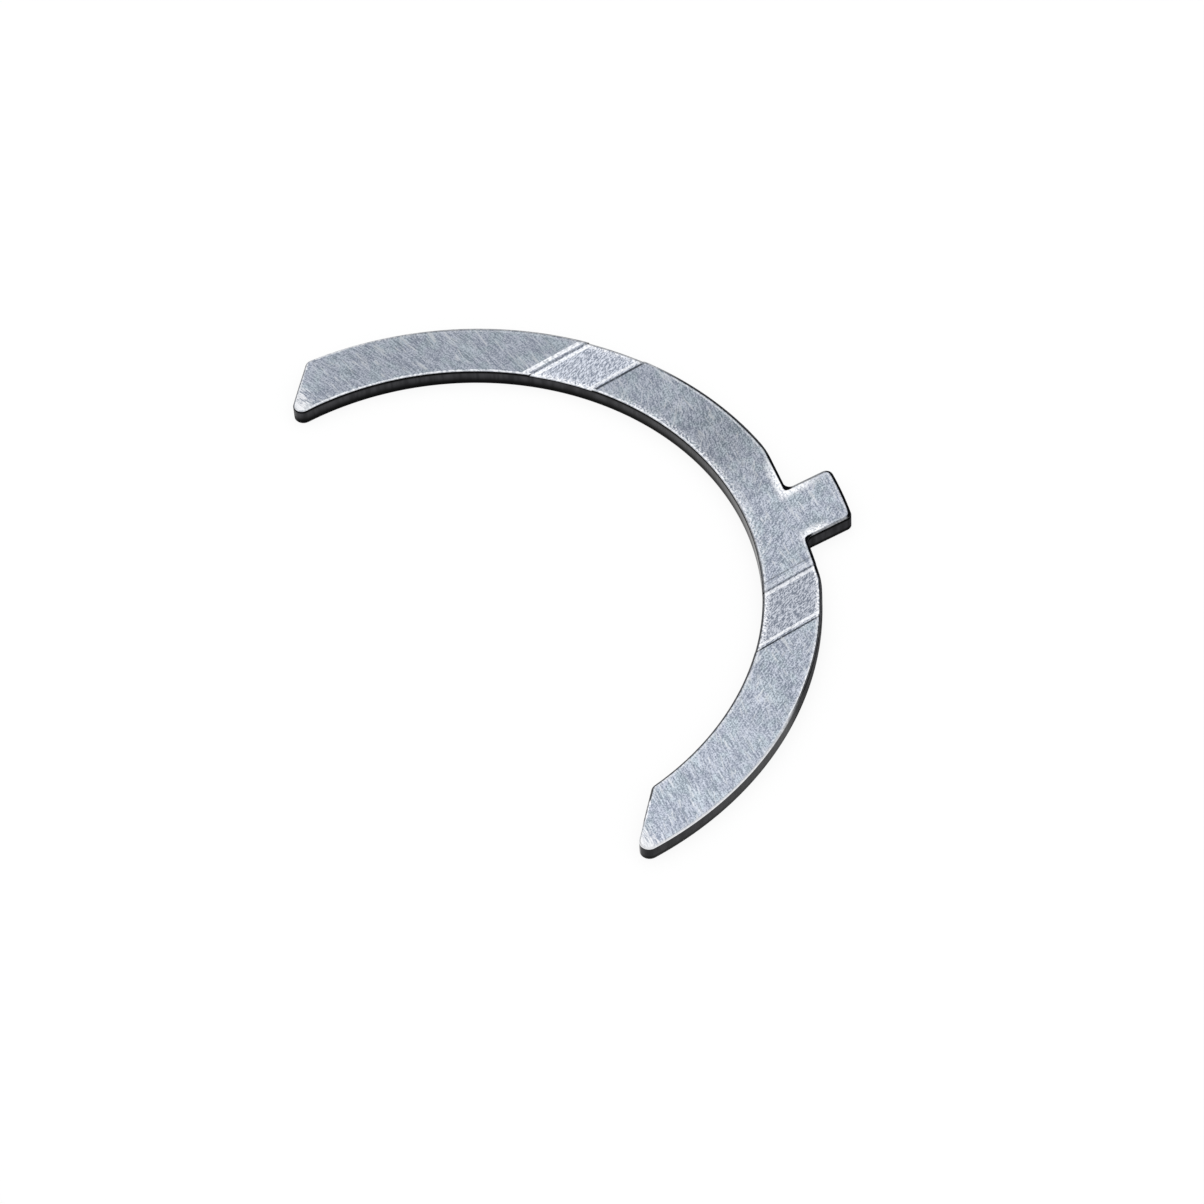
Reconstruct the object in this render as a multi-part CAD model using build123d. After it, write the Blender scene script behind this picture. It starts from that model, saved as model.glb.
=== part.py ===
from build123d import *
import math
import os

# A half-ring thrust washer for a crankshaft's main bearing, in millimetres and degrees.
# The origin is on the crankshaft's axis, in the plane of the washer's flat back.
# +Z points out of the grooved thrust face, and +Y through the middle of the half ring.
# Bearings and leans are measured from +Y towards +X.

# Ring
bore_diameter = 73.5
band_width = 7.25
thickness = 2.31
thrust_edge_radius = 0.25
back_edge_radius = 0.15

# Ends: both are cut on the same slant, a little short of the parting line.
# Each end has a pointed corner, its tip, and a blunt one, its heel.
end_setback = 0.66
end_cut_slope = 44.0
tip_radius = 1.2
heel_radius = 1.2

# The thrust face eases down towards the tips
tip_ease_length = 2.0
tip_ease_drop = 0.10

# Locating tab, to one side of the middle, with a flat across the rim on each side of it
tab_bearing = 15.3
tab_width = 8.1
tab_height = 5.4
tab_lean = 2.0
tab_corner_radius = 0.9
tab_root_radius = 0.8
rim_flat_depth = 0.84
rim_flat_tilt = 2.8

# Oil grooves across the thrust face, one on each side of the middle
groove_bearing = 34.6
groove_lean = -2.0
groove_width = 6.8
groove_depth = 0.22
groove_wall_slope = 60.0
groove_shoulder_width = 0.50
groove_shoulder_drop = 0.04
groove_foot_width = 0.45
groove_foot_rise = 0.03

# Sizes that follow from these
inner_radius = bore_diameter / 2
middle_radius = inner_radius + band_width / 2
outer_radius = inner_radius + band_width
rim_flat_distance = outer_radius - rim_flat_depth
tab_end_radius = outer_radius + tab_height


def on_bearing(radius, bearing):
    turn = math.radians(bearing)
    return Vector(radius * math.sin(turn), radius * math.cos(turn))


def facing(radius, bearing, direction):
    """The place at a radius and bearing, with local +Y turned to a direction of its own."""
    return Pos(on_bearing(radius, bearing)) * Rot(0, 0, -direction)


def full_disc(radius):
    """A disc whose seam lies in the missing half of the ring."""
    return Rot(0, 0, -90) * Circle(radius)


def missing_half():
    """All that lies below the two end cuts, which slant the same way and join inside the bore."""
    slope = math.radians(end_cut_slope)
    half_cut = Vector(math.cos(slope), -math.sin(slope)) * 2 * band_width
    left_cut = Vector(-middle_radius, end_setback)
    right_cut = Vector(middle_radius, end_setback)
    well_below = 2 * outer_radius
    return make_face(
        Polyline(
            left_cut - half_cut,
            left_cut + half_cut,
            right_cut - half_cut,
            right_cut + half_cut,
            (well_below, -well_below),
            (-well_below, -well_below),
            close=True,
        )
    )


def half_ring():
    """The plain band between its two end cuts, with the corners rounded."""
    band = full_disc(outer_radius) - full_disc(inner_radius) - missing_half()
    tips = band.vertices().sort_by(Axis.Y)[:2]
    band = fillet(tips, tip_radius)
    heels = band.vertices().sort_by(Axis.Y)[-2:]
    return fillet(heels, heel_radius)


def cut_rim_flats(outline):
    """Two straight flats across the rim, which fall away from each other behind the tab."""
    outside = Rectangle(2 * outer_radius, band_width, align=(Align.CENTER, Align.MIN))
    for flat_bearing in (tab_bearing - rim_flat_tilt, tab_bearing + rim_flat_tilt):
        outline = outline - facing(rim_flat_distance, flat_bearing, flat_bearing) * outside
    return outline


def add_tab(outline):
    """A parallel-sided tab, rooted in the band, whose end is centred on the ring's own axis."""
    rooted = band_width / 2
    strip = Rectangle(tab_width, rooted + 2 * tab_height, align=(Align.CENTER, Align.MIN))
    strip = facing(outer_radius, tab_bearing, tab_lean) * Pos(0, -rooted) * strip
    outline = outline + (strip & full_disc(tab_end_radius))
    tab_corners = outline.vertices().sort_by_distance(on_bearing(tab_end_radius, tab_bearing))[:2]
    outline = fillet(tab_corners, tab_corner_radius)
    tab_roots = outline.vertices().sort_by_distance(on_bearing(rim_flat_distance, tab_bearing))[:2]
    return fillet(tab_roots, tab_root_radius)


def tip_ease(outline):
    """A long shallow wedge above the thrust face, which takes its slope down to both tips."""
    lowest_tip = outline.bounding_box().min.Y
    start = lowest_tip + tip_ease_length
    clear = 2 * tip_ease_length
    fall = tip_ease_drop * clear / tip_ease_length
    wedge = Polyline(
        (start, thickness),
        (start - clear, thickness - fall),
        (start - clear, thickness + thickness),
        (start, thickness + thickness),
        close=True,
    )
    return extrude(Plane.YZ * make_face(wedge), 2 * outer_radius, both=True)


def break_edges(blank):
    """Round the outline's edges, less on the back, and leave the creases of the eased tips."""
    rims = blank.edges().filter_by(Axis.Z, reverse=True).filter_by(Axis.X, reverse=True)
    thrust_rims = rims.filter_by_position(Axis.Z, thickness / 2, 2 * thickness)
    blank = fillet(thrust_rims, thrust_edge_radius)
    back_rims = blank.edges().group_by(Axis.Z)[0]
    return fillet(back_rims, back_edge_radius)


def groove_half_section():
    """One side of a groove's section: a shallow shoulder, a steep wall and a shallow foot."""
    lip = groove_width / 2
    wall_height = groove_depth - groove_shoulder_drop - groove_foot_rise
    wall_run = wall_height / math.tan(math.radians(groove_wall_slope))
    return [
        (lip + groove_shoulder_width, 0),
        (lip, -groove_shoulder_drop),
        (lip - wall_run, groove_foot_rise - groove_depth),
        (lip - wall_run - groove_foot_width, -groove_depth),
    ]


def groove(side):
    """An oil groove right across the band. The side is -1 for left and 1 for right."""
    right_side = groove_half_section()
    left_side = [(-across, height) for across, height in reversed(right_side)]
    top = right_side[0][0]
    section = Polyline(*right_side, *left_side, (-top, thickness), (top, thickness), close=True)
    bar = extrude(Plane.XZ * make_face(section), 2 * band_width, both=True)
    return Pos(0, 0, thickness) * facing(middle_radius, side * groove_bearing, groove_lean) * bar


def thrust_washer():
    outline = add_tab(cut_rim_flats(half_ring()))
    blank = extrude(outline, thickness) - tip_ease(outline)
    washer = break_edges(blank)
    for side in (-1, 1):
        washer = washer - groove(side)
    return washer


washer = thrust_washer()
size = washer.bounding_box().size
print(f"washer {size.X:.2f} x {size.Y:.2f} x {size.Z:.2f} mm, volume {washer.volume:.1f} mm3")

os.makedirs("parts", exist_ok=True)
washer.label = "thrust_washer"
export_step(washer, "parts/thrust_washer.step")
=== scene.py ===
# %% [markdown]
# # A crankshaft thrust washer in the studio
#
# This lesson takes a half-ring thrust washer, already drawn to size in CAD, builds it again
# as a clean mesh, and gives it the surface of the real thing: a ground thrust face full of
# fine scratches, two pressed oil grooves, rims that tumbling has worn bright and a dark edge
# where a press sheared it. Light and shade are painted on as well: a painted sheen on the
# face, painted highlights and painted dark reflections on the rims, painted shade on the
# back rim, and painted lines of highlight and shade at the grooves' lips. The washer is one
# piece of metal, so there is one object.
#
# The first cell loads the drawn washer, which the new one has to match in size. Everything
# is in metres. The origin is on the crankshaft's axis in the plane of the flat back, +Z
# points out of the thrust face, and +Y through the middle of the half ring.

# %% Load the drawn washer
import math

import bmesh
import bpy
from mathutils import Matrix, Vector


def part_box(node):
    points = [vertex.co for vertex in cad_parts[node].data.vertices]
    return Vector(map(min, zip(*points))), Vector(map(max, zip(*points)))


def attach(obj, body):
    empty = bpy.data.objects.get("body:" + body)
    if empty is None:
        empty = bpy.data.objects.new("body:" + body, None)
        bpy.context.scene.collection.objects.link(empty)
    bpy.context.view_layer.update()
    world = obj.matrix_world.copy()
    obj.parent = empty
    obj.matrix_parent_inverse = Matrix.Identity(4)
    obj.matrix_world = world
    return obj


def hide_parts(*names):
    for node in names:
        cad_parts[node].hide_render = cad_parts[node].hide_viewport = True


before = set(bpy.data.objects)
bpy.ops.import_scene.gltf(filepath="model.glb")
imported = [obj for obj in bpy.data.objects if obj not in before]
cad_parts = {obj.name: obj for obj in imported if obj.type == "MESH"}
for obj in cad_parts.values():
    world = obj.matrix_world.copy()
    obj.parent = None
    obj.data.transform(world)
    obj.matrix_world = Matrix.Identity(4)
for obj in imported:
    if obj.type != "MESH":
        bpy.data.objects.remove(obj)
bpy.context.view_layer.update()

scene = bpy.context.scene
drawn_lowest, drawn_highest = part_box("thrust_washer")
MM = 0.001
print("drawn washer, mm:", [round(side / MM, 2) for side in drawn_highest - drawn_lowest])

# %% [markdown]
# ## The camera
#
# The washer was photographed from about 0.6 m with a long lens, from beyond its right end.
# A camera can be placed by typing in three rotations, but it is easier to read when it is
# built the way a photographer works: pick the point to aim at, walk round it by a bearing,
# climb by an elevation, stand back, and last tip the camera a little on its own axis.

# %% Place the camera
CAMERA_AIM = Vector((9.843, 14.269, 2.31)) * MM
CAMERA_BEARING = math.radians(119.05)
CAMERA_ELEVATION = math.radians(51.764)
CAMERA_DISTANCE = 620.2 * MM
CAMERA_ROLL = math.radians(4.077)
CAMERA_LENS = 153.11
CAMERA_SENSOR = 36.0
PICTURE_WIDTH = 1204


def direction(bearing, elevation):
    """The way out from the middle, with bearings measured from +Y towards +X."""
    level = math.cos(elevation)
    return Vector((level * math.sin(bearing), level * math.cos(bearing), math.sin(elevation)))


def looking(place, target, roll=0.0):
    """A matrix that stands at a place and looks at a target, tipped by a roll."""
    turn = (target - place).to_track_quat("-Z", "Y")
    return Matrix.Translation(place) @ turn.to_matrix().to_4x4() @ Matrix.Rotation(roll, 4, "Z")


camera = bpy.data.objects.new("camera", bpy.data.cameras.new("camera"))
scene.collection.objects.link(camera)
camera.data.lens = CAMERA_LENS
camera.data.sensor_width = CAMERA_SENSOR
camera.data.clip_start = 0.01
camera_place = CAMERA_AIM + CAMERA_DISTANCE * direction(CAMERA_BEARING, CAMERA_ELEVATION)
camera.matrix_world = looking(camera_place, CAMERA_AIM, -CAMERA_ROLL)
scene.camera = camera
scene.view_settings.view_transform = "Standard"
pixel_width = CAMERA_DISTANCE / MM * CAMERA_SENSOR / CAMERA_LENS / PICTURE_WIDTH
print("camera, mm:", [round(part / MM, 1) for part in camera_place])
print("one pixel covers, mm:", round(pixel_width, 2))

# %% [markdown]
# ## Nodes without the wiring
#
# A material, a world and a light are all built from nodes. One helper is enough for all
# of them: it adds a node, sets its properties, fills or links its inputs, and hands back
# an output, which goes straight into the next call. Finishes on a part also need places
# to lie in, so a second helper marks out a zone. Each edge of a zone names a measure, such
# as a radius, with the value where the zone begins and the one where it is full. Colours
# are written as the sRGB hex values that a paint program shows, and a third helper turns
# them into Blender's linear numbers.

# %% Three helpers
tree = None


def add_node(kind, inputs=(), output=0, **settings):
    """Add a node to the tree in hand, with its settings and links, and return one output."""
    node = tree.nodes.new(kind)
    for name, setting in settings.items():
        setattr(node, name, setting)
    by_socket = inputs if isinstance(inputs, dict) else dict(enumerate(inputs))
    for socket, given in by_socket.items():
        # A list is for a socket that takes several links.
        for value in given if isinstance(given, list) else [given]:
            if isinstance(value, bpy.types.NodeSocket):
                tree.links.new(value, node.inputs[socket])
            else:
                node.inputs[socket].default_value = value
    return node.outputs[output] if node.outputs else node


def zone(*edges, low=0.0, high=1.0):
    """How much of a finish a place gets, from low outside its zone to high well inside.

    An edge is a zone marked out before, or a measure with where it begins and where it is full.
    """
    share = None
    for edge in edges:
        if isinstance(edge, tuple):
            ramp = dict(zip(("Value", "From Min", "From Max"), edge))
            edge = add_node("ShaderNodeMapRange", ramp, interpolation_type="SMOOTHSTEP")
        if share is not None:
            edge = add_node("ShaderNodeMath", (share, edge), operation="MULTIPLY")
        share = edge
    if (low, high) != (0.0, 1.0):
        share = add_node("ShaderNodeMath", (share, high - low, low), operation="MULTIPLY_ADD")
    return share


def colour(code):
    """An sRGB hex colour as linear red, green, blue and alpha."""
    parts = [int(code[start:start + 2], 16) / 255 for start in (1, 3, 5)]
    linear = [part / 12.92 if part <= 0.04045 else ((part + 0.055) / 1.055) ** 2.4 for part in parts]
    return (*linear, 1.0)


print("middle grey in linear numbers:", [round(part, 3) for part in colour("#808080")[:3]])

# %% [markdown]
# ## Studio light
#
# Metal has hardly any colour of its own to show: what the eye sees is the room in it. A
# plain white room, the same brightness all round, is the safest start, because then a
# metal renders just as bright as its written colour. Real rooms are darker near the floor
# than overhead, most of all to each side of the window, and a polished rim shows that as
# a thin dark line.

# %% The room
WORLD_TOP = 0.9
WORLD_LOW = 0.62
WORLD_DARK = 0.36
DARK_BEARINGS = (-12.0, -108.0)
# Heights in the room are sines, so 0 is level with the eye and 1 is straight up.
WALLS_LIGHTEN = (0.0, 0.75)
PATCH_TOP = (0.62, 0.45)
# The side of a patch is a cosine of the angle from its middle.
PATCH_SIDE = (0.72, 0.86)

world = bpy.data.worlds.new("plain_room")
scene.world = world
world.use_nodes = True
tree = world.node_tree
tree.nodes.clear()
sight = add_node("ShaderNodeTexCoord", output="Generated")
upwards = add_node("ShaderNodeSeparateXYZ", (sight,), "Z")
walls = zone((upwards, *WALLS_LIGHTEN), low=WORLD_LOW, high=WORLD_TOP)
beside_window = 0.0
for dark_bearing in DARK_BEARINGS:
    patch_middle = direction(math.radians(dark_bearing), 0.0)
    towards_patch = add_node(
        "ShaderNodeVectorMath", (sight, patch_middle), "Value", operation="DOT_PRODUCT"
    )
    patch = zone((towards_patch, *PATCH_SIDE))
    beside_window = add_node("ShaderNodeMath", (beside_window, patch), operation="MAXIMUM")
dark_patches = zone((upwards, *PATCH_TOP), beside_window)
strength = add_node("ShaderNodeMix", {0: dark_patches, 2: walls, 3: WORLD_DARK})
room = add_node("ShaderNodeBackground", {"Color": colour("#FFFFFF"), "Strength": strength})
add_node("ShaderNodeOutputWorld", {"Surface": room})
print("nodes in the room:", len(tree.nodes))

# %% The lamps
LAMPS = {
    # name: (bearing, elevation, distance in mm, side in mm, glow, where 1 is as bright as white paper)
    "softbox": (-55.0, 55.0, 260.0, 120.0, 0.55),
}
LAMP_AIM = Vector((0, 20, 0)) * MM

for name, (bearing, elevation, distance, side, glow) in LAMPS.items():
    lamp = bpy.data.objects.new(name, bpy.data.lights.new(name, "AREA"))
    scene.collection.objects.link(lamp)
    lamp.data.size = side * MM
    lamp.data.energy = glow * math.pi * (side * MM) ** 2
    lamp_place = direction(math.radians(bearing), math.radians(elevation)) * distance * MM
    lamp.matrix_world = looking(lamp_place, LAMP_AIM)
    print("lamp", name, [round(part / MM) for part in lamp_place])

# %% [markdown]
# ## The floor
#
# The washer lies on a sheet of white paper. A white floor lit like the washer comes out
# light grey, so most of its white is given to the camera as a plain emission, and a smaller
# part stays an ordinary matt surface that can hold the faint shadow. Glossy rays get the
# same white, so the metal shows the floor that the camera sees.

# %% Lay the floor
FLOOR_SIDE = 6.0
FLOOR_DROP = 0.01 * MM
PAPER_WHITE = 0.8
FLOOR_SHARE_OF_LIGHT = 0.16

half = FLOOR_SIDE / 2
floor_corners = [(-half, -half, 0), (half, -half, 0), (half, half, 0), (-half, half, 0)]
floor_mesh = bpy.data.meshes.new("floor")
floor_mesh.from_pydata(floor_corners, [], [(0, 1, 2, 3)])
floor = bpy.data.objects.new("floor", floor_mesh)
scene.collection.objects.link(floor)
floor.location.z = -FLOOR_DROP
# Uncoated paper has no shine, so the eye gets an even white with a soft shadow on it.
sheet = bpy.data.materials.new("white_matt_paper")
sheet.use_nodes = True
tree = sheet.node_tree
tree.nodes.clear()
ray = add_node("ShaderNodeLightPath").node
seen = ray.outputs["Is Camera Ray"]
for kind in ("Is Glossy Ray", "Is Transmission Ray"):
    seen = add_node("ShaderNodeMath", (seen, ray.outputs[kind]), operation="MAXIMUM")
paper_share = zone(seen, low=PAPER_WHITE, high=FLOOR_SHARE_OF_LIGHT)
paper_colour = add_node("ShaderNodeCombineColor", (paper_share, paper_share, paper_share))
matt = add_node("ShaderNodeBsdfDiffuse", {"Color": paper_colour})
glow_strength = zone(seen, high=1.0 - PAPER_WHITE * FLOOR_SHARE_OF_LIGHT)
glow = add_node("ShaderNodeEmission", {"Strength": glow_strength})
both = add_node("ShaderNodeAddShader", (matt, glow))
add_node("ShaderNodeOutputMaterial", {"Surface": both})
floor_mesh.materials.append(sheet)
print("floor, m:", FLOOR_SIDE, "nodes in the paper:", len(tree.nodes))

# %% [markdown]
# ## The outline
#
# A press stamps the washer out of steel strip in one stroke, so its whole shape is one
# outline and a thickness. The outline is nothing but straight cuts and circles about the
# crankshaft, joined by rounded corners. It could be traced as a curve by eye, but then it
# would have no sizes. Here each edge is written down as a cut, and the program works out
# where neighbouring cuts meet and how a corner of a given radius sits between them.

# %% Sizes of the outline, in millimetres
BORE_RADIUS = 36.75
OUTER_RADIUS = 44.0
MIDDLE_RADIUS = (BORE_RADIUS + OUTER_RADIUS) / 2
END_SETBACK = 0.66
END_CUT_SLOPE = math.radians(44.0)
END_CORNER_RADIUS = 1.2
TAB_BEARING = math.radians(15.3)
TAB_WIDTH = 8.1
TAB_HEIGHT = 5.4
TAB_LEAN = math.radians(2.0)
TAB_CORNER_RADIUS = 0.9
TAB_ROOT_RADIUS = 0.8
FLAT_DEPTH = 0.84
FLAT_TILT = math.radians(2.8)
RIM_CORNER_RADIUS = 12.0


def heading(bearing):
    """A flat arrow, with bearings measured from +Y towards +X."""
    return Vector((math.sin(bearing), math.cos(bearing)))


print("width of the band, mm:", OUTER_RADIUS - BORE_RADIUS)

# %% Straight cuts and circles
def straight(outward, point):
    """A cut through a point, with the metal on the side that the arrow points away from."""
    return {"outward": outward, "reach": outward.dot(point)}


def circle(radius, hollow=False):
    """A cut round the crankshaft's axis. The metal is outside a hollow one."""
    return {"radius": radius, "hollow": hollow}


def moved_in(cut, inset):
    """The same cut, further into the metal."""
    if "outward" in cut:
        return {**cut, "reach": cut["reach"] - inset}
    return {**cut, "radius": cut["radius"] + (inset if cut["hollow"] else -inset)}


def meeting(a, b, near):
    """The point where two cuts cross, or the one that is nearer to a place."""
    if "outward" not in a:
        a, b = b, a
    if "outward" in b:
        share = a["outward"].cross(b["outward"])
        x = (a["reach"] * b["outward"].y - b["reach"] * a["outward"].y) / share
        y = (b["reach"] * a["outward"].x - a["reach"] * b["outward"].x) / share
        return Vector((x, y))
    foot = a["outward"] * a["reach"]
    half_chord = math.sqrt(b["radius"] ** 2 - a["reach"] ** 2)
    along = Vector((-a["outward"].y, a["outward"].x)) * half_chord
    return min(foot + along, foot - along, key=lambda point: (point - near).length)


def foot_on(cut, point):
    """The place on a cut that is nearest to a point."""
    if "outward" in cut:
        return point + cut["outward"] * (cut["reach"] - cut["outward"].dot(point))
    return point.normalized() * cut["radius"]


rim = circle(OUTER_RADIUS)
bore = circle(BORE_RADIUS, hollow=True)
print("rim and bore moved 1 mm in:", moved_in(rim, 1.0)["radius"], moved_in(bore, 1.0)["radius"])

# %% The washer's ten edges
cut_outward = -heading(END_CUT_SLOPE)
left_end = straight(cut_outward, Vector((-MIDDLE_RADIUS, END_SETBACK)))
right_end = straight(cut_outward, Vector((MIDDLE_RADIUS, END_SETBACK)))
flats = []
for bearing in (TAB_BEARING - FLAT_TILT, TAB_BEARING + FLAT_TILT):
    flats.append(straight(heading(bearing), heading(bearing) * (OUTER_RADIUS - FLAT_DEPTH)))
tab_foot = heading(TAB_BEARING) * OUTER_RADIUS
tab_rightward = Vector((math.cos(TAB_LEAN), -math.sin(TAB_LEAN)))
tab_sides = []
for side in (-1, 1):
    tab_sides.append(straight(side * tab_rightward, tab_foot + side * tab_rightward * TAB_WIDTH / 2))
tab_end = circle(OUTER_RADIUS + TAB_HEIGHT)

OUTLINE = [
    # cut, radius of its corner with the next one (below zero in an inside corner), bearing of that corner
    (left_end, END_CORNER_RADIUS, -90),
    (rim, RIM_CORNER_RADIUS, 2),
    (flats[0], -TAB_ROOT_RADIUS, 10),
    (tab_sides[0], TAB_CORNER_RADIUS, 11),
    (tab_end, TAB_CORNER_RADIUS, 19),
    (tab_sides[1], -TAB_ROOT_RADIUS, 20),
    (flats[1], RIM_CORNER_RADIUS, 30),
    (rim, END_CORNER_RADIUS, 90),
    (right_end, END_CORNER_RADIUS, 88),
    (bore, END_CORNER_RADIUS, -90),
]
print("edges in the outline:", len(OUTLINE))

# %% Walk round the outline
POINT_SPACING = 0.5
CORNER_STEPS = 10


def swing(centre, start, end, steps):
    """Points from start to end about a centre, the short way round."""
    first, last = start - centre, end - centre
    turn = math.atan2(first.cross(last), first.dot(last))
    for step in range(steps + 1):
        c, s = math.cos(turn * step / steps), math.sin(turn * step / steps)
        yield centre + Vector((first.x * c - first.y * s, first.x * s + first.y * c))


corners = []
for index, (cut, corner_radius, bearing) in enumerate(OUTLINE):
    next_cut = OUTLINE[(index + 1) % len(OUTLINE)][0]
    near = heading(math.radians(bearing)) * OUTER_RADIUS
    centre = meeting(moved_in(cut, corner_radius), moved_in(next_cut, corner_radius), near)
    corners.append(list(swing(centre, foot_on(cut, centre), foot_on(next_cut, centre), CORNER_STEPS)))

outline = []
for index, (cut, _, _) in enumerate(OUTLINE):
    start, end = corners[index - 1][-1], corners[index][0]
    steps = max(2, round((end - start).length / POINT_SPACING))
    if "radius" in cut:
        between = list(swing(Vector((0, 0)), start, end, steps))
    else:
        between = [start.lerp(end, step / steps) for step in range(steps + 1)]
    outline += between[1:-1] + corners[index]
print("points:", len(outline), "from x", round(min(point.x for point in outline), 2))

# %% [markdown]
# ## From outline to blank
#
# A rule makes the rest, so it is written as a Geometry Nodes tree. The outline is swept by
# the profile of a rolled edge, which is rounded more on the thrust face than on the back.
# Two flat caps close it, each drawn a rounding's radius further in. A bevel modifier could
# round the edges too, but it leaves uneven strips where the outline turns, and a polished
# rim shows every one of them. The tree works in millimetres and scales at the end.

# %% The outline as a loop
outline_mesh = bpy.data.meshes.new("washer_outline")
loop_edges = [(index, (index + 1) % len(outline)) for index in range(len(outline))]
outline_mesh.from_pydata([(point.x, point.y, 0.0) for point in outline], loop_edges, [])
outline_loop = bpy.data.objects.new("washer_outline", outline_mesh)
scene.collection.objects.link(outline_loop)
print("edges in the loop:", len(outline_mesh.edges))

# %% Sizes that the tree takes, in millimetres
THICKNESS = 2.31
BLANK_SIZES = {"Thickness": THICKNESS, "Thrust edge radius": 0.25, "Back edge radius": 0.15}
# Steel strip, ground on its faces, sheared at its edge and then tumbled. The eye gets soft
# grey faces full of fine arcs, a nearly black edge, and thin white rims between the two,
# which are worn bright and carry painted highlights.
metal = bpy.data.materials.new("ground_steel_strip_sheared_and_tumbled")

blank_tree = bpy.data.node_groups.new("stamped_blank", "GeometryNodeTree")
blank_tree.interface.new_socket("Outline", in_out="INPUT", socket_type="NodeSocketGeometry")
for name in BLANK_SIZES:
    blank_tree.interface.new_socket(name, in_out="INPUT", socket_type="NodeSocketFloat")
blank_tree.interface.new_socket("Blank", in_out="OUTPUT", socket_type="NodeSocketGeometry")
tree = blank_tree
given = add_node("NodeGroupInput").node.outputs
thick = given["Thickness"]
print("the tree takes the outline and:", BLANK_SIZES)

# %% Profile of the rolled edge
ROUNDING_POINTS = 15


def rounding(radius, height, start):
    """Points on a quarter turn about a place one radius in from the outline."""
    quarter_turn = {
        "Resolution": ROUNDING_POINTS, "Radius": radius, "Start Angle": start, "Sweep Angle": -math.pi / 2
    }
    quarter = add_node("GeometryNodeCurveArc", quarter_turn, mode="RADIUS")
    inward = add_node("ShaderNodeMath", (radius, -1.0), operation="MULTIPLY")
    middle = add_node("ShaderNodeCombineXYZ", (inward, height))
    quarter = add_node("GeometryNodeTransform", {0: quarter, "Translation": middle})
    return add_node("GeometryNodeCurveToPoints", (quarter,), mode="EVALUATED")


front_radius, back_radius = given["Thrust edge radius"], given["Back edge radius"]
front_middle = add_node("ShaderNodeMath", (thick, front_radius), operation="SUBTRACT")
front_rounding = rounding(front_radius, front_middle, math.pi / 2)
back_rounding = rounding(back_radius, back_radius, 0.0)
profile_points = add_node("GeometryNodeJoinGeometry", ([back_rounding, front_rounding],))
profile = add_node("GeometryNodePointsToCurves", (profile_points,))
# Half a turn, because a flat curve's own axes point into the washer and down.
profile = add_node("GeometryNodeTransform", {0: profile, "Rotation": (0, 0, math.pi)})
print("points in the profile:", 2 * ROUNDING_POINTS)

# %% Sweep it and cap it
# Points nearer to each other than this, in millimetres, become one.
MERGE_DISTANCE = 0.0005

path = add_node("GeometryNodeMeshToCurve", (given["Outline"],))
path = add_node("GeometryNodeSetCurveNormal", (path,), mode="Z_UP")
rolled_side = add_node("GeometryNodeCurveToMesh", {0: path, "Profile Curve": profile})
rolled_side = add_node("GeometryNodeFlipFaces", (rolled_side,))
rolled_side = add_node("GeometryNodeSetShadeSmooth", {0: rolled_side, "Shade Smooth": True}, domain="FACE")


def cap(inset, height):
    """A flat face that fills the outline a little further in."""
    inward = add_node("GeometryNodeInputNormal")
    inward = add_node("ShaderNodeVectorMath", {0: inward, "Scale": inset}, operation="SCALE")
    face = add_node("GeometryNodeSetPosition", {0: path, "Offset": inward})
    face = add_node("GeometryNodeFillCurve", (face,), mode="NGONS")
    up = add_node("ShaderNodeCombineXYZ", {2: height})
    face = add_node("GeometryNodeTransform", {0: face, "Translation": up})
    return add_node("GeometryNodeSetShadeSmooth", {0: face, "Shade Smooth": False}, domain="FACE")


thrust_face = cap(front_radius, thick)
flat_back = add_node("GeometryNodeFlipFaces", (cap(back_radius, 0.0),))
closed = add_node("GeometryNodeJoinGeometry", ([rolled_side, thrust_face, flat_back],))
blank = add_node("GeometryNodeMergeByDistance", {0: closed, "Distance": MERGE_DISTANCE})

in_metres = add_node("GeometryNodeTransform", {0: blank, "Scale": (MM, MM, MM)})
realised = add_node("GeometryNodeRealizeInstances", (in_metres,))
finished = add_node("GeometryNodeSetMaterial", {0: realised, "Material": metal})
add_node("NodeGroupOutput", (finished,))
print("nodes in the blank's tree:", len(tree.nodes))

# %% Turn the tree's result into a plain mesh
modifier = outline_loop.modifiers.new("stamp", "NODES")
modifier.node_group = blank_tree
for item in blank_tree.interface.items_tree:
    if item.name in BLANK_SIZES:
        modifier[item.identifier] = BLANK_SIZES[item.name]
bpy.context.view_layer.update()
evaluated = outline_loop.evaluated_get(bpy.context.evaluated_depsgraph_get())
washer_mesh = bpy.data.meshes.new_from_object(evaluated)
washer_mesh.name = "stamped_washer"
washer_mesh.materials.clear()
washer_mesh.materials.append(metal)
outline_loop.modifiers.remove(modifier)
bpy.data.objects.remove(outline_loop)
print("faces in the blank:", len(washer_mesh.polygons))

# %% [markdown]
# ## Press the oil grooves
#
# Two grooves carry oil across the thrust face. A die presses each of them in, which pushes
# metal down rather than cutting it away, so the rolled rims dip with the floor. Squeezed
# metal never ends in a clean corner either: there is a shallow shoulder, then a steep wall,
# then a shallow foot. The mesh is treated the same way: fold lines are cut where the
# section bends, and every point of the front is lowered by the section's depth. Taking a
# bar away with a boolean is the usual choice, but it would leave the rims square.

# %% The groove's section, in millimetres
GROOVE_BEARING = math.radians(34.6)
GROOVE_LEAN = math.radians(-2.0)
GROOVE_HALF_WIDTH = 3.4
GROOVE_DEPTH = 0.22
GROOVE_WALL_SLOPE = math.radians(60.0)
SHOULDER_WIDTH, SHOULDER_DROP = 0.50, 0.04
FOOT_WIDTH, FOOT_RISE = 0.45, 0.03

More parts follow.
